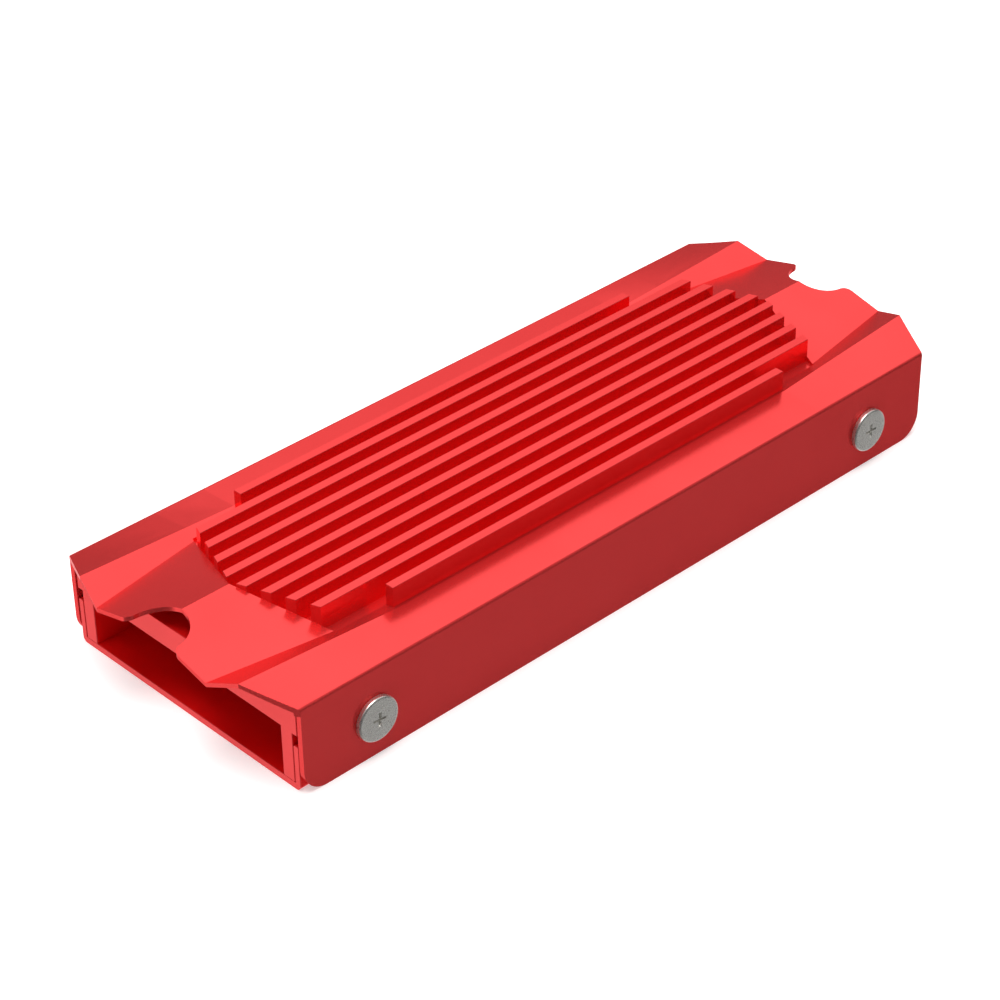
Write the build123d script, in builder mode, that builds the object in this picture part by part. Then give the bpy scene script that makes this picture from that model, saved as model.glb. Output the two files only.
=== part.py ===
from build123d import *
import os

# A heatsink case for an M.2 2280 solid state drive. A finned aluminium cover with two
# skirts is screwed through its sides to an inner channel, and a thin tray closes it below.
# X runs along the case, Y across it and Z up. The origin is under the middle, on the floor.

os.makedirs("parts", exist_ok=True)

# ---- driving dimensions, mm ----
side_length = 72.0          # a skirt, end to end
body_width = 28.3           # over the two skirts
edge_height = 8.2           # floor to the bend between skirt and top
sheet = 0.5                 # skirts and tray flanges
lip = 0.4                   # thickness of the faceted top where it overhangs the ends
bend_radius = 0.35          # bend between skirt and top
skirt_corner = 2.2          # rounded lower corners of the skirts
edge_break = 0.03           # tumbled edges of machined pieces
overlap = 0.2               # depth that one volume sinks into the next before they are joined

# faceted top: (distance from the centre line, height) of each fold, at three stations along X
stations = (22.5, 27.5, 39.5)    # the facets run outwards from the first; the last is past the tips
ridge_height = 9.98
peak = ((9.94, 8.44), (9.86, 8.75), (9.68, 9.48))
valley = ((8.8, 8.2), (8.57, 8.24), (6.6, 8.28))

# outline of the top seen from above: the end edge runs through these tips
peak_tip = (38.15, 9.7)
valley_tip = (38.9, 6.7)
notch_reach = 38.4          # centre of the half-round notch at each end
notch_radius = 2.75         # clears the head of the screw that holds the drive
notch_round = 0.8           # rounded corners where the notch meets the end edge

# fins
fin_count = 10
fin_pitch = 2.04
fin_thickness = 0.85
fin_top = 10.2
groove_floor = 8.0
pocket_half = 8.755         # half width of the pocket that the grooves share
fin_reach = 31.0            # the fins' ends follow a blunt point, this far out on the centre line
fin_taper = 0.375           # mm of length that an end loses per mm away from the centre line
short_fin = 22.6            # half length of the outermost fin on each side
lip_start = 31.8            # the top is thin from here outwards

# inner channel and tray
channel_length = 71.9
channel_top = 7.55
slot_width = 23.2           # takes a 22 mm wide card
slot_ceiling = 5.37
floor = 0.6
seam = 0.2                  # gap between the channel and a skirt
rebate_wall = 12.88         # outer face of the channel beside the flange, from the centre line
rebate_top = 5.3
flange_top = 4.25
flange_gap = 0.15           # between a flange and the skirt outside it
flange_rim = 0.15           # rounded upper edges of the flanges
seat_gap = 0.02             # between the channel and the tray that it stands in

# side screws, M2
screw_x = 28.8
screw_z = 3.6
head_radius = 1.98
head_height = 0.55
shank_radius = 1.0
shank_length = 2.25
thread_clearance = 0.03
hole_clearance = 0.08
recess_width = 0.28
recess_span = 1.2
recess_depth = 0.3
recess_turn = 20            # degrees
tip_chamfer = 0.2

# thermal pads
pad_size = (56.0, 21.0, 0.3)
pad_corner = 0.5

half_width = body_width / 2
skirt_inside = half_width - sheet
hollow_end = stations[-1] + 1    # clear of the tips


def fold(places, x):
    """Place of a fold, as (y, z), at a distance x from the middle: straight from station to station."""
    first = 0 if x < stations[1] else 1
    share = (x - stations[first]) / (stations[first + 1] - stations[first])
    return tuple(a + (b - a) * share for a, b in zip(places[first], places[first + 1]))


def facet_section(x, sink, base, half):
    """Cross-section under the facets: a zig-zag roof, lowered by sink, over a flat base."""
    folds = [fold(peak, abs(x)), fold(valley, abs(x))]
    right = [(half, base), (half, edge_height - sink)]
    right += [(y, z - sink) for y, z in folds]
    left = [(-y, z) for y, z in reversed(right)]
    with BuildSketch(Plane.YZ.offset(x)) as section:
        with BuildLine():
            Polyline(*right, (0, ridge_height - sink), *left, close=True)
        make_face()
        if not sink:
            bends = section.vertices().filter_by(lambda v: abs(v.Y - edge_height) < 0.001)
            fillet(bends, radius=bend_radius)
    return section.sketch


def fin_outline():
    """Plan of the finned block, blunt-pointed at both ends."""
    shoulder = fin_reach - fin_taper * pocket_half
    with BuildSketch() as outline:
        with BuildLine():
            Polyline((fin_reach, 0), (shoulder, pocket_half), (-shoulder, pocket_half),
                     (-fin_reach, 0), (-shoulder, -pocket_half), (shoulder, -pocket_half), close=True)
        make_face()
    return outline.sketch


# ---- finned cover ----
with BuildPart() as hollow:
    for side in (-1, 1):
        for x in (lip_start, hollow_end):
            add(facet_section(side * x, lip, channel_top - overlap, skirt_inside))
        loft(ruled=True)

with BuildPart() as finned_cover:
    # the faceted slab, ruled from each cross-section to the next
    sections = [-station for station in reversed(stations)] + list(stations)
    for pair in zip(sections, sections[1:]):
        for x in pair:
            add(facet_section(x, 0, channel_top, half_width))
        loft(ruled=True)
    # the end edges, seen from above
    with BuildSketch(Plane.XY) as plan:
        with BuildLine():
            corner = (side_length / 2, half_width)
            east = [corner, peak_tip, valley_tip]
            east += [(x, -y) for x, y in reversed(east)]
            west = [(-x, -y) for x, y in east]
            Polyline(*east, *west, close=True)
        make_face()
        with Locations((notch_reach, 0), (-notch_reach, 0)):
            Circle(notch_radius, mode=Mode.SUBTRACT)
        notch_corners = plan.vertices().filter_by(lambda v: 0 < abs(v.Y) < notch_radius)
        fillet(notch_corners, radius=notch_round)
    extrude(amount=fin_top, mode=Mode.INTERSECT)
    # the lips at both ends are thin
    add(hollow.part, mode=Mode.SUBTRACT)
    # a pocket for the grooves, then the fins that stand in it
    with BuildSketch(Plane.XY.offset(groove_floor)):
        add(fin_outline())
    extrude(amount=fin_top, mode=Mode.SUBTRACT)
    for index in range(fin_count):
        y = (index - (fin_count - 1) / 2) * fin_pitch
        outermost = index in (0, fin_count - 1)
        length = 2 * (short_fin if outermost else fin_reach)
        with BuildSketch(Plane.XY.offset(groove_floor - overlap)):
            with Locations((0, y)):
                Rectangle(length, fin_thickness)
            if not outermost:
                add(fin_outline(), mode=Mode.INTERSECT)
        extrude(amount=fin_top - groove_floor + overlap)
    rims = finned_cover.edges().filter_by(lambda e: abs(e.center().Z - fin_top) < 0.001)
    chamfer(rims, edge_break)
    # the skirts, with rounded lower corners
    with BuildSketch(Plane.XZ) as skirt:
        with Locations((0, (channel_top + overlap) / 2)):
            Rectangle(side_length, channel_top + overlap)
        fillet(skirt.vertices().group_by(Axis.Y)[0], radius=skirt_corner)
    for side in (-1, 1):
        extrude(skirt.sketch.moved(Location((0, side * (half_width - sheet / 2), 0))),
                amount=sheet / 2, both=True)
    with Locations(Plane.XZ):
        with Locations((screw_x, screw_z), (-screw_x, screw_z)):
            Hole(shank_radius + hole_clearance, depth=body_width)
finned_cover.part.label = "finned_cover"
export_step(finned_cover.part, "parts/finned_cover.step")

# ---- inner channel, open below, with a rebate outside each leg for the tray's flange ----
with BuildPart() as inner_channel:
    leg = skirt_inside - seam
    inside = slot_width / 2
    foot = floor + seat_gap
    right = [(inside, slot_ceiling), (inside, foot), (rebate_wall, foot),
             (rebate_wall, rebate_top), (leg, rebate_top), (leg, channel_top)]
    with BuildSketch(Plane.YZ) as channel_section:
        with BuildLine():
            Polyline(*right, *[(-y, z) for y, z in reversed(right)], close=True)
        make_face()
    extrude(amount=channel_length / 2, both=True)
    rims = inner_channel.edges().group_by(Axis.X)
    chamfer(rims[0] + rims[-1], edge_break)
    with Locations(Plane.XZ):
        with Locations((screw_x, screw_z), (-screw_x, screw_z)):
            Hole(shank_radius + thread_clearance, depth=body_width)
inner_channel.part.label = "inner_channel"
export_step(inner_channel.part, "parts/inner_channel.step")

# ---- bottom tray, a U of sheet with an open slot in each flange for every screw ----
with BuildPart() as bottom_tray:
    outer = skirt_inside - flange_gap
    with BuildSketch(Plane.YZ) as tray_section:
        with Locations((0, flange_top / 2)):
            Rectangle(2 * outer, flange_top)
        with Locations((0, floor + flange_top / 2)):
            Rectangle(2 * (outer - sheet), flange_top, mode=Mode.SUBTRACT)
        fillet(tray_section.vertices().group_by(Axis.Y)[0], radius=sheet)
        fillet(tray_section.vertices().group_by(Axis.Y)[-1], radius=flange_rim)
    extrude(amount=channel_length / 2, both=True)
    slot_radius = shank_radius + hole_clearance
    with BuildSketch(Plane.XZ) as slots:
        for x in (-screw_x, screw_x):
            with Locations((x, screw_z)):
                Circle(slot_radius)
            with Locations((x, screw_z + flange_top / 2)):
                Rectangle(2 * slot_radius, flange_top)
    extrude(amount=body_width, both=True, mode=Mode.SUBTRACT)
bottom_tray.part.label = "bottom_tray"
export_step(bottom_tray.part, "parts/bottom_tray.step")

# ---- thermal pads ----
for name, base in (("upper_thermal_pad", slot_ceiling - pad_size[2]), ("lower_thermal_pad", floor)):
    with BuildPart(Plane.XY.offset(base)) as pad:
        Box(*pad_size, align=(Align.CENTER, Align.CENTER, Align.MIN))
        fillet(pad.edges().filter_by(Axis.Z), radius=pad_corner)
    pad.part.label = name
    export_step(pad.part, f"parts/{name}.step")

# ---- side screws: thin pan heads with a cross recess ----
places = {
    "front_left_screw": (-screw_x, -1),
    "front_right_screw": (screw_x, -1),
    "back_left_screw": (-screw_x, 1),
    "back_right_screw": (screw_x, 1),
}
for name, (x, side) in places.items():
    seat = Plane(origin=(x, side * half_width, screw_z), x_dir=(1, 0, 0), z_dir=(0, side, 0))
    with BuildPart(seat) as screw:
        Cylinder(head_radius, head_height, align=(Align.CENTER, Align.CENTER, Align.MIN))
        fillet(screw.edges().sort_by(Axis.Y)[-1 if side > 0 else 0], radius=head_height / 2)
        with BuildSketch(seat.offset(head_height)) as recess:
            for angle in (recess_turn, recess_turn + 90):
                Rectangle(recess_span, recess_width, rotation=angle)
        extrude(amount=-recess_depth, mode=Mode.SUBTRACT)
        with BuildSketch(seat):
            Circle(shank_radius)
        extrude(amount=-shank_length)
        tip = screw.edges().sort_by(Axis.Y)[0 if side > 0 else -1]
        chamfer(tip, tip_chamfer)
    screw.part.label = name
    export_step(screw.part, f"parts/{name}.step")
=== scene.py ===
# %% [markdown]
# # A red anodised heatsink case for an M.2 drive
# The real object is a small aluminium case, about 78 mm long. A finned cover with folded
# facets is screwed through its sides to an inner channel, and a thin tray closes it below.
# Those three pieces come from the CAD frame, and this lesson gives them their finishes. It
# makes the screws and the soft pads as meshes of their own, in the places of their CAD
# pieces, and it sets a camera, a floor and lights.

# %% Load the frame
import math

import bpy
import numpy as np
from mathutils import Matrix, Vector


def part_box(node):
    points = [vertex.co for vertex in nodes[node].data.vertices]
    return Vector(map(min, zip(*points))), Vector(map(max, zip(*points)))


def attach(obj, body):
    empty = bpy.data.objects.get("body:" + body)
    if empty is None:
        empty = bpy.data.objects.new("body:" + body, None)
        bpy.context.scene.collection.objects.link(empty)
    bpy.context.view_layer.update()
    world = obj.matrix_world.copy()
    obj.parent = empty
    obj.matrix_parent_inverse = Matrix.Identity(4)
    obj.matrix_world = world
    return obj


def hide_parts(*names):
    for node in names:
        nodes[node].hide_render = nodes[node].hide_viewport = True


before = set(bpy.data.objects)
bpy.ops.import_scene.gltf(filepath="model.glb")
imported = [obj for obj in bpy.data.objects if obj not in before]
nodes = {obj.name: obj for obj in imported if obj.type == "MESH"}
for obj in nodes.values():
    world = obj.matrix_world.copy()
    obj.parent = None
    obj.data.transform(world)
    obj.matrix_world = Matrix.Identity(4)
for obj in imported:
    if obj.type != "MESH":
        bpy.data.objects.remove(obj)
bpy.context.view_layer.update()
scene = bpy.context.scene
MM = 0.001    # a millimetre in metres
print("nodes:", sorted(nodes))

# %% [markdown]
# ## Camera
# A product shot of something this small is taken with a long lens, so that its long edges
# stay nearly parallel. The camera is placed by angles round a point near the middle of the
# case: an azimuth, an elevation, a distance and a slight roll.

# %% Camera
AZIMUTH, ELEVATION, ROLL = -43.39, 33.94, -0.88    # degrees
CAMERA_DISTANCE = 245.7 * MM
AIM = np.array([-0.16, 1.98, 2.18]) * MM
LENS, SENSOR_WIDTH = 103.6, 36.0    # Blender takes these two in millimetres
CLIP_START = 10 * MM


def camera_axes(azimuth, elevation, roll):
    """Right, up and back vectors of a camera at these angles, in degrees.

    Back points from the aim to the camera. Right lies level, and up stands square to both.
    The roll then turns right and up about the camera's axis.
    """
    a, e, r = np.radians([azimuth, elevation, roll])
    back = np.array([math.sin(a) * math.cos(e), -math.cos(a) * math.cos(e), math.sin(e)])
    right = np.cross(-back, [0, 0, 1])
    right /= np.linalg.norm(right)
    up = np.cross(right, -back)
    turned_right = right * math.cos(r) + up * math.sin(r)
    turned_up = up * math.cos(r) - right * math.sin(r)
    return turned_right, turned_up, back


right, up, back = camera_axes(AZIMUTH, ELEVATION, ROLL)
camera_data = bpy.data.cameras.new("camera")
camera_data.sensor_width = SENSOR_WIDTH
camera_data.lens = LENS
camera_data.clip_start = CLIP_START
camera = bpy.data.objects.new("camera", camera_data)
scene.collection.objects.link(camera)
pose = np.eye(4)
pose[:3, 0], pose[:3, 1], pose[:3, 2] = right, up, back
pose[:3, 3] = AIM + back * CAMERA_DISTANCE
camera.matrix_world = Matrix(pose.tolist())
scene.camera = camera
print("camera at", np.round(pose[:3, 3], 4))

# %% [markdown]
# ## Helpers for colours and nodes
# Colours are given as the sRGB hex values that a screen shows, and Blender mixes light in
# linear values, so one function undoes the sRGB curve. One small function adds a node.

# %% Helpers for colours and nodes


def hex_linear(code):
    """Linear red, green and blue of an sRGB hex colour: the sRGB curve undone, value by value."""
    value = np.array([int(code[i:i + 2], 16) for i in (1, 3, 5)]) / 255
    return np.where(value <= 0.04045, value / 12.92, ((value + 0.055) / 1.055) ** 2.4)


def node(tree, kind, settings=None, inputs=None):
    """One node: settings are its own properties, inputs are values or sockets by name or number."""
    made = tree.nodes.new(kind)
    for key, value in (settings or {}).items():
        setattr(made, key, value)
    for key, value in (inputs or {}).items():
        if isinstance(value, bpy.types.NodeSocket):
            tree.links.new(value, made.inputs[key])
        else:
            made.inputs[key].default_value = value
    return made


print("half grey, linear:", np.round(hex_linear("#808080"), 3))

# %% [markdown]
# ## Light
# Blasted and anodised metal is judged by what it mirrors, softly. Level faces mirror the bright
# upper back of the studio and go light, while facets that lean back mirror the dimmer stretch
# near the horizon and go deep red. So the surround is a dome that grows brighter with height.
# It dims towards the front, and on the left it dims more below the horizon than above it, which
# keeps the fins' ends readable. A pale reflector, low on the left and towards the back, serves
# the end faces. The standard view transform keeps the red as saturated as the dye is.

# %% The dome
scene.view_settings.view_transform = "Standard"
DOME_STRENGTH = 1.2
# the sine of a direction's height above the horizon, and the dome's level there
DOME_BY_HEIGHT = ((-0.2, 0.9), (0.0, 0.15), (0.16, 0.16), (0.3, 0.32), (0.46, 0.62),
                  (0.56, 0.94), (0.7, 1.0))
# each mask: the axis it follows, where on that axis it starts and ends, and its two levels
MASKS = {
    "front": ("Y", (-0.35, 0.1), (0.25, 1.0)),
    "left": ("X", (-0.6, 0.3), (0.15, 1.0)),
    "left_above": ("Z", (-0.15, 0.15), (0.0, 0.5)),
    "reflector_left": ("X", (0.0, -1.0), (0.0, 1.0)),
    "reflector_low": ("Z", (0.3, 0.0), (0.0, 1.0)),
    "reflector_behind": ("Y", (0.1, 0.35), (0.0, 1.0)),
}

world = bpy.data.worlds.new("studio_dome")
scene.world = world
world.use_nodes = True
dome = world.node_tree
direction = node(dome, "ShaderNodeTexCoord").outputs["Generated"]
split = node(dome, "ShaderNodeSeparateXYZ", None, {"Vector": direction})
height = node(dome, "ShaderNodeMapRange", None, {"Value": split.outputs["Z"], "From Min": -1.0})
ramp = node(dome, "ShaderNodeValToRGB", None, {"Fac": height.outputs["Result"]})
while len(ramp.color_ramp.elements) < len(DOME_BY_HEIGHT):
    ramp.color_ramp.elements.new(0.5)
for stop, (sine, level) in zip(ramp.color_ramp.elements, DOME_BY_HEIGHT):
    stop.position = (sine + 1) / 2
    stop.color = (level, level, level, 1)
print("dome stops:", [round(stop.position, 2) for stop in ramp.color_ramp.elements])

# %% The dome's masks
mask = {}
for name, (axis, reach, levels) in MASKS.items():
    ranged = node(dome, "ShaderNodeMapRange", None,
                  {"Value": split.outputs[axis], "From Min": reach[0], "From Max": reach[1],
                   "To Min": levels[0], "To Max": levels[1]})
    mask[name] = ranged.outputs["Result"]
left_side = node(dome, "ShaderNodeMath", {"operation": "MAXIMUM"},
                 {0: mask["left"], 1: mask["left_above"]})
sides = node(dome, "ShaderNodeMath", {"operation": "MULTIPLY"},
             {0: mask["front"], 1: left_side.outputs["Value"]})
shaded = node(dome, "ShaderNodeMath", {"operation": "MULTIPLY"},
              {0: ramp.outputs["Color"], 1: sides.outputs["Value"]})
low_left = node(dome, "ShaderNodeMath", {"operation": "MULTIPLY"},
                {0: mask["reflector_left"], 1: mask["reflector_low"]})
reflector = node(dome, "ShaderNodeMath", {"operation": "MULTIPLY"},
                 {0: low_left.outputs["Value"], 1: mask["reflector_behind"]})
total = node(dome, "ShaderNodeMath", {"operation": "ADD"},
             {0: shaded.outputs["Value"], 1: reflector.outputs["Value"]})
background = dome.nodes["Background"]
dome.links.new(total.outputs["Value"], background.inputs["Color"])
background.inputs["Strength"].default_value = DOME_STRENGTH
print("dome nodes:", len(dome.nodes))

# %% [markdown]
# ## Soft box and floor
# One soft box overhead gives the screw heads their bright crescents and the floor its soft
# shadow. The floor is matt paper on a light table, which glows a little and so keeps the shadow
# faint. It lights the case but isn't mirrored in it, as when the case stands on glass above it.

# %% Soft box and floor
SOFT_BOX_PLACE, SOFT_BOX_SIZE = (-0.1, 0.0, 0.8), 0.55    # metres
SOFT_BOX_RADIANCE = 5.6    # a square lamp's power is its radiance times its area times pi
FLOOR_HALF = 3.0
PAPER_WHITE, TABLE_GLOW = "#F4F3F2", 0.45

lamp = bpy.data.lights.new("top_soft_box", "AREA")
lamp.shape = "SQUARE"
lamp.size = SOFT_BOX_SIZE
lamp.energy = SOFT_BOX_RADIANCE * SOFT_BOX_SIZE ** 2 * math.pi
soft_box = bpy.data.objects.new("top_soft_box", lamp)
soft_box.location = SOFT_BOX_PLACE
soft_box.rotation_euler = (-Vector(SOFT_BOX_PLACE)).to_track_quat("-Z", "Y").to_euler()
scene.collection.objects.link(soft_box)

floor_mesh = bpy.data.meshes.new("floor")
floor_corners = [(-FLOOR_HALF, -FLOOR_HALF, 0), (FLOOR_HALF, -FLOOR_HALF, 0),
                 (FLOOR_HALF, FLOOR_HALF, 0), (-FLOOR_HALF, FLOOR_HALF, 0)]
floor_mesh.from_pydata(floor_corners, [], [(0, 1, 2, 3)])
floor = bpy.data.objects.new("floor", floor_mesh)
scene.collection.objects.link(floor)
floor.visible_glossy = False
paper = bpy.data.materials.new("matt_paper")
paper.use_nodes = True
paper_shader = paper.node_tree.nodes["Principled BSDF"]
paper_shader.inputs["Base Color"].default_value = (*hex_linear(PAPER_WHITE), 1)
paper_shader.inputs["Roughness"].default_value = 0.9
paper_shader.inputs["Specular IOR Level"].default_value = 0.0
paper_shader.inputs["Emission Color"].default_value = (1, 1, 1, 1)
paper_shader.inputs["Emission Strength"].default_value = TABLE_GLOW
floor_mesh.materials.append(paper)
print("soft box power, W:", round(lamp.energy, 2), "floor, m:", 2 * FLOOR_HALF)

# %% [markdown]
# ## Red anodised aluminium
# The metal is blasted with fine beads, which leaves it evenly dull, then anodised and dyed.
# The dye sits in a clear, glassy oxide over bright metal. So it acts like a tinted metal under a
# clear coat: light that bounces twice between two fins comes back redder, and a little white
# light glances off the coat. The real grit marks are about 0.05 mm, too fine to show, so they
# are drawn 0.2 mm wide. Edges carry a rounding of 0.015 mm, which catches the light.

# %% Painted shade inside the slot
# a deeper, more saturated red painted inside the slot as its shade
SLOT_SHADE_RED = "#FF1A1A"
SAWN_END, TRAY_UNDERSIDE = 35.85 * MM, 0.3 * MM


def paint_slot_shade(tree, place, colour):
    """Mix a deeper red, as painted shade, where |X| is short of the sawn ends and Z is off the
    base.
    """
    spot = node(tree, "ShaderNodeSeparateXYZ", None, {"Vector": place})
    along = node(tree, "ShaderNodeMath", {"operation": "ABSOLUTE"}, {0: spot.outputs["X"]})
    short_of_end = node(tree, "ShaderNodeMath", {"operation": "LESS_THAN"},
                        {0: along.outputs["Value"], 1: SAWN_END})
    above_base = node(tree, "ShaderNodeMath", {"operation": "GREATER_THAN"},
                      {0: spot.outputs["Z"], 1: TRAY_UNDERSIDE})
    inside = node(tree, "ShaderNodeMath", {"operation": "MULTIPLY"},
                  {0: short_of_end.outputs["Value"], 1: above_base.outputs["Value"]})
    mixed = node(tree, "ShaderNodeMix", {"data_type": "RGBA"},
                 {"Factor": inside.outputs["Value"], 6: colour, 7: (*hex_linear(SLOT_SHADE_RED), 1)})
    return mixed.outputs[2]


# the red of the painted shade inside the slot, in linear values
print("dye inside, linear:", np.round(hex_linear(SLOT_SHADE_RED), 3))

# %% Red anodised aluminium
RED, DEEP_RED, GLANCING_RED = "#FC4848", "#F74141", "#FF6060"
COAT = {"Coat Weight": 0.25, "Coat Roughness": 0.22, "Coat IOR": 1.6}
CLOUD_WIDTH = 6.0 * MM
GRAIN_DEPTH, GRAIN_STRENGTH = 0.01 * MM, 0.12
NOISE_LOW, NOISE_HIGH = 0.3, 0.7    # nearly all of a noise's values lie between these
EDGE_ROUNDING, EDGE_SAMPLES = 0.015 * MM, 4


def anodised(name, metallic, roughness, unevenness, grain_mm, drawn_out=None):
    """Dyed aluminium: a clear coat over a tinted metal.

    The dye runs between two near shades in soft clouds. A blasted piece has even grain, with
    height. A drawn or rolled one has smoother grain, drawn out along X, and a deeper red painted
    inside the slot as shade.
    """
    material = bpy.data.materials.new(name)
    material.use_nodes = True
    tree = material.node_tree
    shader = tree.nodes["Principled BSDF"]
    place = node(tree, "ShaderNodeTexCoord").outputs["Object"]
    clouds = node(tree, "ShaderNodeTexNoise", None,
                  {"Vector": place, "Scale": 1 / CLOUD_WIDTH, "Detail": 1.0})
    dye = node(tree, "ShaderNodeMix", {"data_type": "RGBA"},
               {"Factor": clouds.outputs["Fac"], 6: (*hex_linear(RED), 1),
                7: (*hex_linear(DEEP_RED), 1)})
    stretched = node(tree, "ShaderNodeMapping", None,
                     {"Vector": place, "Scale": (1 / (drawn_out or 1), 1, 1)})
    grain = node(tree, "ShaderNodeTexNoise", None,
                 {"Vector": stretched.outputs["Vector"], "Scale": 1 / (grain_mm * MM),
                  "Detail": 2.0})
    dulling = node(tree, "ShaderNodeMapRange", None,
                   {"Value": grain.outputs["Fac"], "From Min": NOISE_LOW, "From Max": NOISE_HIGH,
                    "To Min": roughness - unevenness, "To Max": roughness + unevenness})
    rounding = node(tree, "ShaderNodeBevel", {"samples": EDGE_SAMPLES}, {"Radius": EDGE_ROUNDING})
    colour, normal = dye.outputs[2], rounding.outputs["Normal"]
    # inside the slot a deeper red is painted in as shade
    if drawn_out:
        colour = paint_slot_shade(tree, place, colour)
    else:
        bump = node(tree, "ShaderNodeBump", None,
                    {"Height": grain.outputs["Fac"], "Strength": GRAIN_STRENGTH,
                     "Distance": GRAIN_DEPTH, "Normal": normal})
        normal = bump.outputs["Normal"]
    tree.links.new(colour, shader.inputs["Base Color"])
    tree.links.new(dulling.outputs["Result"], shader.inputs["Roughness"])
    tree.links.new(normal, shader.inputs["Normal"])
    shader.inputs["Specular Tint"].default_value = (*hex_linear(GLANCING_RED), 1)
    for socket, value in ({"Metallic": metallic} | COAT).items():
        shader.inputs[socket].default_value = value
    return material


print("dye, linear:", np.round(hex_linear(RED), 3))

# %% [markdown]
# The cover is the blasted piece. The channel is extruded and the tray is rolled sheet, so their
# grain is smoother and runs along X. Inside the slot, short of the sawn ends, a deeper and more
# saturated red is painted in as the slot's shade. The tray's base stays as its ends are.

# %% Finish the three CAD pieces
finishes = {
    "finned_cover": anodised("blasted_red_cover", metallic=0.74, roughness=0.22,
                             unevenness=0.03, grain_mm=0.2),
    "inner_channel": anodised("extruded_red_channel", metallic=0.5, roughness=0.26,
                              unevenness=0.005, grain_mm=0.3, drawn_out=30.0),
    "bottom_tray": anodised("rolled_red_tray", metallic=0.5, roughness=0.26,
                            unevenness=0.005, grain_mm=0.4, drawn_out=12.0),
}
for name, material in finishes.items():
    nodes[name].data.materials.clear()
    nodes[name].data.materials.append(material)
print("finishes:", {name: material.name for name, material in finishes.items()})

# %% [markdown]
# ## A closed mesh from rings
# The screws and the pads are both turned or drawn-out shapes: a row of rings, each with the
# same number of points, closed at both ends by one point. Whole arrays give the faces: each
# ring's numbers are set beside the next ring's and beside their own, shifted by one. The
# volume that the helper prints is positive when the faces point outwards.

# %% A closed mesh from rings


def ring_piece(name, rings, first_pole, last_pole, sharp_degrees):
    """Object from rings of points: quads between rings, a fan at each pole, sharp past an angle."""
    count, steps = rings.shape[:2]
    here = np.arange(count * steps).reshape(count, steps)
    beside = np.roll(here, -1, axis=1)
    quads = np.stack([here[:-1], here[1:], beside[1:], beside[:-1]], axis=-1).reshape(-1, 4)
    first, last = np.full(steps, count * steps), np.full(steps, count * steps + 1)
    first_fan = np.stack([first, here[0], beside[0]], axis=-1)
    last_fan = np.stack([last, beside[-1], here[-1]], axis=-1)
    points = np.concatenate([rings.reshape(-1, 3), [first_pole, last_pole]])
    mesh = bpy.data.meshes.new(name)
    mesh.from_pydata(points.tolist(), [], quads.tolist() + first_fan.tolist() + last_fan.tolist())
    mesh.polygons.foreach_set("use_smooth", np.ones(len(mesh.polygons), dtype=bool))
    mesh.set_sharp_from_angle(angle=math.radians(sharp_degrees))
    piece = bpy.data.objects.new(name, mesh)
    scene.collection.objects.link(piece)
    corners = points[np.concatenate([quads[:, :3], quads[:, [0, 2, 3]], first_fan, last_fan])]
    volume = np.einsum("ij,ij->i", corners[:, 0], np.cross(corners[:, 1], corners[:, 2])).sum() / 6
    print(name, "volume, mm3:", round(volume / MM ** 3, 2), "faces:", len(mesh.polygons))
    return piece


# %% [markdown]
# ## Side screws
# Four small machine screws hold the cover to the channel. The real ones are cold-headed from
# steel wire and rolled to an M2 thread, then plated with nickel. A screw is a profile turned
# round its axis, so its rings follow that profile: out over the face, round the rim, down the
# wall, in under the head and along the shank. The cross recess and the thread aren't round, so
# they are added as functions of the angle: one lowers the face, the other swells the shank.

# %% The cross recess
RECESS_SPAN, RECESS_WIDTH, RECESS_DEPTH = 1.35 * MM, 0.3 * MM, 0.3 * MM
RECESS_WALL = 0.12 * MM


def recess_depth(radius, angle):
    """Depth of a cross recess: full inside the four wings, and rising over a sloped wall.

    A point's distance inside a wing is half the wing's size less its distance from the wing's
    axis, the smaller of the two ways; the cross takes the larger of its two wings.
    """
    along, across = np.abs(radius * np.cos(angle)), np.abs(radius * np.sin(angle))
    one_wing = np.minimum(RECESS_SPAN / 2 - along, RECESS_WIDTH / 2 - across)
    other_wing = np.minimum(RECESS_SPAN / 2 - across, RECESS_WIDTH / 2 - along)
    share = np.clip(np.maximum(one_wing, other_wing) / RECESS_WALL, 0, 1)
    return RECESS_DEPTH * share ** 2 * (3 - 2 * share)


print("recess at the middle, mm:", round(float(recess_depth(0.0, 0.0)) / MM, 3))

# %% The head and the thread
FACE_CENTRE, FACE_DETAIL = 0.02 * MM, 0.9 * MM    # first ring, and the end of the close rings
CLOSE_RINGS, OPEN_RINGS, RIM_RINGS, SHANK_RINGS = 45, 8, 9, 64
RIM_ROUNDING, FACE_CROWN = 0.2 * MM, 0.05 * MM
UNDER_EDGE, UNDER_ROOT = 0.04 * MM, 0.03 * MM    # small corners under the head
THREAD_RADIUS, THREAD_PITCH, THREAD_DEPTH = 1.0 * MM, 0.4 * MM, 0.22 * MM
RIDGE_HEIGHT, RIDGE_SLOPE = 1.15, 1.3    # of the V before it is cut off flat at 0 and 1
NECK, TIP, TIP_TAPER = 0.12 * MM, 0.3 * MM, 0.15 * MM


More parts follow.
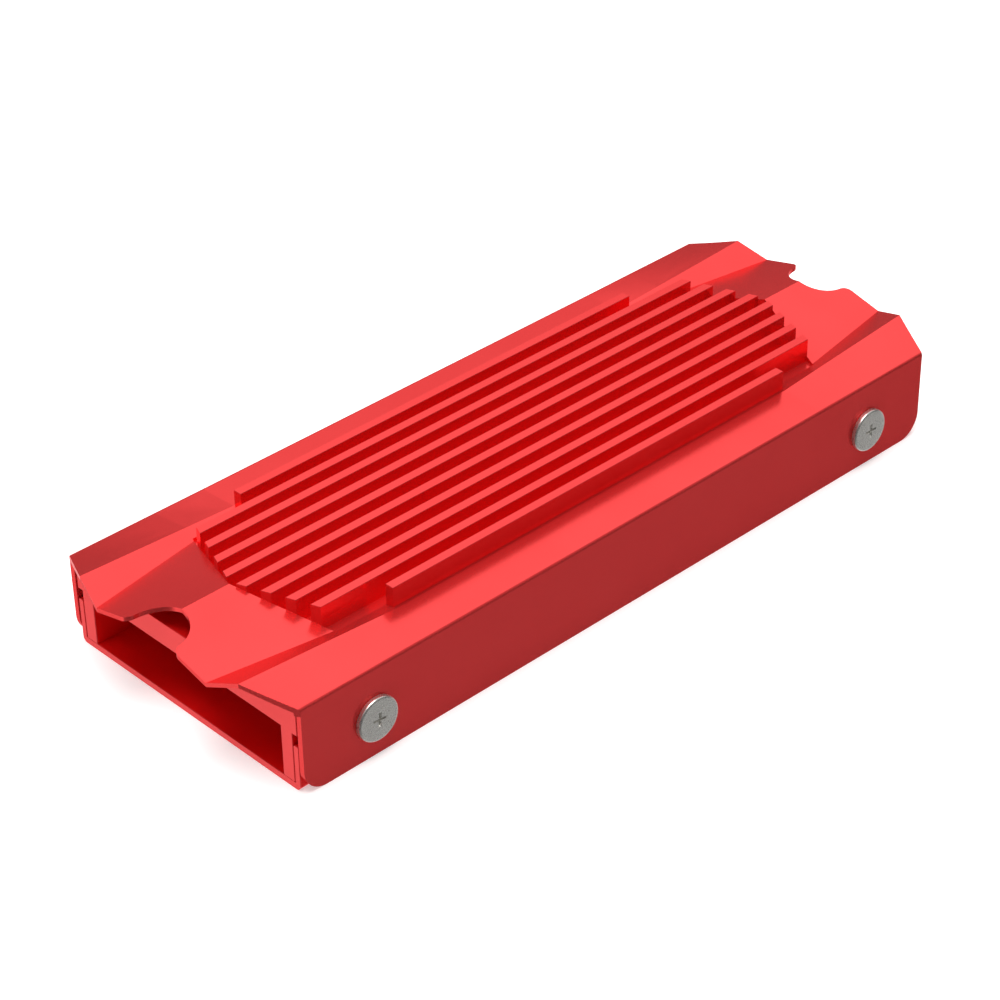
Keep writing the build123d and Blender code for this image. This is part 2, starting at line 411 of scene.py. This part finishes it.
def screw_profile(head_radius, head_height, shank_length):
    """Radii and heights of the rings, from the middle of the face to the tip, as three stretches.

    The face falls from its middle as the square of the radius. The rim is a quarter circle.
    """
    flat = head_radius - RIM_ROUNDING
    face_radius = np.concatenate([np.linspace(FACE_CENTRE, FACE_DETAIL, CLOSE_RINGS),
                                  np.linspace(FACE_DETAIL, flat, OPEN_RINGS)[1:]])
    face_height = head_height - FACE_CROWN * (face_radius / flat) ** 2
    bend = np.linspace(0, math.pi / 2, RIM_RINGS)[1:]
    rim_radius = flat + RIM_ROUNDING * np.sin(bend)
    rim_height = head_height - FACE_CROWN - RIM_ROUNDING * (1 - np.cos(bend))
    root = THREAD_RADIUS - THREAD_DEPTH
    under_radius = np.array([head_radius, head_radius - UNDER_EDGE, root + UNDER_ROOT, root])
    under_height = np.array([UNDER_EDGE, 0, 0, -UNDER_ROOT])
    head = (np.concatenate([rim_radius, under_radius]), np.concatenate([rim_height, under_height]))
    return (face_radius, face_height), head, np.linspace(-NECK, -shank_length, SHANK_RINGS)


def thread_radius(height, angle, shank_length):
    """Radius of the shank: a V-shaped ridge wound round it, fading out at the neck and the tip.

    The ridge's phase is the height in pitches less the angle in turns. It fades in over half a
    pitch below the neck, and over the tip it fades out while the shank itself draws in.
    """
    phase = (height / THREAD_PITCH - angle / (2 * math.pi)) % 1
    ridge = np.clip(RIDGE_HEIGHT - np.abs(2 * phase - 1) * RIDGE_SLOPE, 0, 1)
    to_tip = np.clip((shank_length + height) / TIP, 0, 1)
    fade = np.clip((-height - NECK) / (THREAD_PITCH / 2), 0, 1) * to_tip
    return THREAD_RADIUS - THREAD_DEPTH * (1 - ridge * fade) - (1 - to_tip) * TIP_TAPER


print("thread root and crest, mm:",
      np.round([(THREAD_RADIUS - THREAD_DEPTH) / MM, THREAD_RADIUS / MM], 3))

# %% [markdown]
# ## Nickel plate
# Nickel is plated a few thousandths of a millimetre thick, so it follows the steel under it and
# keeps the fine pits that heading and tumbling leave. It is a warm grey metal with a satin face.
# Slow noise shifts its tone as handling does, and fine noise sets its roughness and its pits.

# %% Nickel plate
NICKEL, DULL_NICKEL = "#F6F5EF", "#E6E2DC"
TARNISH_WIDTH = 0.7 * MM
PIT_WIDTH, PIT_DEPTH, PIT_STRENGTH = 0.08 * MM, 0.004 * MM, 0.05
SMOOTHEST, ROUGHEST = 0.24, 0.34


def nickel_plate():
    """Nickel-plated steel: a satin metal whose tone, roughness and height follow two noises."""
    material = bpy.data.materials.new("nickel_plated_steel")
    material.use_nodes = True
    tree = material.node_tree
    shader = tree.nodes["Principled BSDF"]
    place = node(tree, "ShaderNodeTexCoord").outputs["Object"]
    tarnish = node(tree, "ShaderNodeTexNoise", None,
                   {"Vector": place, "Scale": 1 / TARNISH_WIDTH, "Detail": 3.0})
    tone = node(tree, "ShaderNodeMix", {"data_type": "RGBA"},
                {"Factor": tarnish.outputs["Fac"], 6: (*hex_linear(NICKEL), 1),
                 7: (*hex_linear(DULL_NICKEL), 1)})
    pits = node(tree, "ShaderNodeTexNoise", None,
                {"Vector": place, "Scale": 1 / PIT_WIDTH, "Detail": 2.0})
    satin = node(tree, "ShaderNodeMapRange", None,
                 {"Value": pits.outputs["Fac"], "From Min": NOISE_LOW, "From Max": NOISE_HIGH,
                  "To Min": SMOOTHEST, "To Max": ROUGHEST})
    bump = node(tree, "ShaderNodeBump", None,
                {"Height": pits.outputs["Fac"], "Strength": PIT_STRENGTH, "Distance": PIT_DEPTH})
    tree.links.new(tone.outputs[2], shader.inputs["Base Color"])
    tree.links.new(satin.outputs["Result"], shader.inputs["Roughness"])
    tree.links.new(bump.outputs["Normal"], shader.inputs["Normal"])
    shader.inputs["Metallic"].default_value = 0.9
    return material


nickel = nickel_plate()
print("screw finish:", nickel.name)

# %% [markdown]
# Each screw takes its place and size from its CAD node's box. Its axis points out of the side,
# and a right-handed set of axes keeps its faces outwards and its thread right-handed on both
# sides. Each screw stopped at an angle of its own when it was tightened.

# %% Place the screws
SCREW_TURNS = {"front_left_screw": -5, "front_right_screw": 1,
               "back_left_screw": 31, "back_right_screw": 67}    # degrees
TURN_STEPS = 160
SCREW_SHARP_DEGREES = 40


def screw_rings(head_radius, head_height, shank_length, turn):
    """Rings of one screw about its own axis: radius, angle and height, for every ring and angle."""
    angle = np.linspace(0, 2 * math.pi, TURN_STEPS, endpoint=False)[None, :]
    face, head, shank_height = screw_profile(head_radius, head_height, shank_length)
    level = np.ones_like(angle)
    radius = np.concatenate([face[0][:, None] * level, head[0][:, None] * level,
                             thread_radius(shank_height[:, None], angle, shank_length)])
    height = np.concatenate([face[1][:, None] - recess_depth(face[0][:, None], angle - turn),
                             head[1][:, None] * level, shank_height[:, None] * level])
    return radius, angle, height


def place_screw(node_name, turn_degrees):
    """A screw in its CAD node's place, riding on that screw's own body.

    A ring's point is the seat's middle, plus the radius times the cosine and the sine of its
    angle along two axes in the side's plane, plus its height along the screw's axis.
    """
    low, high = (np.array(corner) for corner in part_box(node_name))
    side = 1 if low[1] > 0 else -1
    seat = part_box("finned_cover")[1][1]
    head_radius = (high[0] - low[0]) / 2
    head_height = max(abs(low[1]), abs(high[1])) - seat
    shank_length = high[1] - low[1] - head_height
    radius, angle, height = screw_rings(head_radius, head_height, shank_length,
                                        math.radians(turn_degrees))
    middle = np.array([(low[0] + high[0]) / 2, side * seat, (low[2] + high[2]) / 2])
    first_axis, axis = np.array([1, 0, 0]), np.array([0, side, 0])
    second_axis = np.cross(axis, first_axis)
    rings = (middle + (radius * np.cos(angle))[..., None] * first_axis
             + (radius * np.sin(angle))[..., None] * second_axis + height[..., None] * axis)
    face_pole = middle + (head_height - RECESS_DEPTH) * axis
    screw = ring_piece(f"nickel_{node_name}", rings, face_pole, middle - shank_length * axis,
                       SCREW_SHARP_DEGREES)
    screw.data.materials.append(nickel)
    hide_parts(node_name)
    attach(screw, node_name)


for name, turn in SCREW_TURNS.items():
    place_screw(name, turn)

# %% [markdown]
# ## Thermal pads
# A soft silicone sheet lies on the tray and another hangs under the channel's roof, to carry
# heat out of the drive. They are cast on an embossed film and cut with a knife, so the faces
# hold a fine crossed imprint and the cut edges bulge a little when pressed. Each pad is a flat
# section with round edges, carried along X, and its ends close with the same round.

# %% The shape of a pad
PAD_STATIONS, PAD_STEPS = 80, 96
LAST_INSET = 0.995    # where the end stations stop, just short of closing to a line
FLAT_SHARE = 1.2      # over 1, it gathers the section's points at its two edges
SQUARENESS = 0.2      # under 1, it flattens the two faces and leaves the edges round
PAD_WAVE, WAVE_ALONG, WAVE_ACROSS = 0.01 * MM, 4.1 * MM, 2.7 * MM


def pad_rings(low, high):
    """Rings of a pad across X: a bar with round edges that shrinks to its middle at both ends.

    The rounding factor falls from 1 to nearly 0 along a quarter circle over the last half
    thickness. Slow waves, pressed in by the chips, thin the middle by a few hundredths.
    """
    middle, half = (low + high) / 2, (high - low) / 2
    ease = np.linspace(-1, 1, PAD_STATIONS)
    x = half[0] * np.sin(ease * math.pi / 2)
    inset = np.clip((np.abs(x) - (half[0] - half[2])) / half[2], 0, LAST_INSET)
    rounding = np.sqrt(1 - inset ** 2)[:, None]
    angle = np.linspace(0, -2 * math.pi, PAD_STEPS, endpoint=False)[None, :]
    spread = np.sin(np.clip(np.cos(angle) * FLAT_SHARE, -1, 1) * math.pi / 2)
    across = (half[1] - half[2]) * spread + half[2] * rounding * np.cos(angle)
    wave = PAD_WAVE * (2 + np.sin(x[:, None] / WAVE_ALONG) + np.sin(across / WAVE_ACROSS))
    squared = np.sign(np.sin(angle)) * np.abs(np.sin(angle)) ** SQUARENESS
    lift = squared * (half[2] - wave) * rounding
    ring_x = x[:, None] * np.ones_like(angle)
    return np.stack([middle[0] + ring_x, middle[1] + across, middle[2] + lift], axis=-1)


print("pad grid:", PAD_STATIONS, "rings of", PAD_STEPS, "points")

# %% [markdown]
# Pad silicone is loaded with ceramic powder, which makes it matt and blue-grey, and the powder
# mottles it faintly. The film's imprint is a fine crossed pattern, turned to run cornerwise.

# %% Filled silicone
PAD_DARK, PAD_PALE = "#8F969F", "#A9AEB4"
FILLER_WIDTH = 0.5 * MM
IMPRINT_WIDTH, IMPRINT_DEPTH, IMPRINT_STRENGTH, IMPRINT_TURN = 0.6 * MM, 0.02 * MM, 0.4, 45


def silicone():
    """Filled silicone rubber: matt blue-grey, faintly mottled, with a crossed film imprint."""
    material = bpy.data.materials.new("filled_silicone")
    material.use_nodes = True
    tree = material.node_tree
    shader = tree.nodes["Principled BSDF"]
    place = node(tree, "ShaderNodeTexCoord").outputs["Object"]
    filler = node(tree, "ShaderNodeTexNoise", None,
                  {"Vector": place, "Scale": 1 / FILLER_WIDTH, "Detail": 4.0})
    tone = node(tree, "ShaderNodeMix", {"data_type": "RGBA"},
                {"Factor": filler.outputs["Fac"], 6: (*hex_linear(PAD_DARK), 1),
                 7: (*hex_linear(PAD_PALE), 1)})
    turned = node(tree, "ShaderNodeMapping", None,
                  {"Vector": place, "Rotation": (0, 0, math.radians(IMPRINT_TURN))})
    imprint = node(tree, "ShaderNodeTexChecker", None,
                   {"Vector": turned.outputs["Vector"], "Scale": 1 / IMPRINT_WIDTH})
    bump = node(tree, "ShaderNodeBump", None,
                {"Height": imprint.outputs["Fac"], "Strength": IMPRINT_STRENGTH,
                 "Distance": IMPRINT_DEPTH})
    tree.links.new(tone.outputs[2], shader.inputs["Base Color"])
    tree.links.new(bump.outputs["Normal"], shader.inputs["Normal"])
    shader.inputs["Roughness"].default_value = 0.6
    shader.inputs["IOR"].default_value = 1.41
    return material


soft_grey = silicone()
print("pad finish:", soft_grey.name)

# %% Place the pads
PAD_SHARP_DEGREES = 50
for name, body in (("upper_thermal_pad", "cover"), ("lower_thermal_pad", "tray")):
    low, high = (np.array(corner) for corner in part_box(name))
    rings = pad_rings(low, high)
    pad = ring_piece(f"soft_{name}", rings, rings[0].mean(axis=0), rings[-1].mean(axis=0),
                     PAD_SHARP_DEGREES)
    pad.data.materials.append(soft_grey)
    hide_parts(name)
    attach(pad, body)
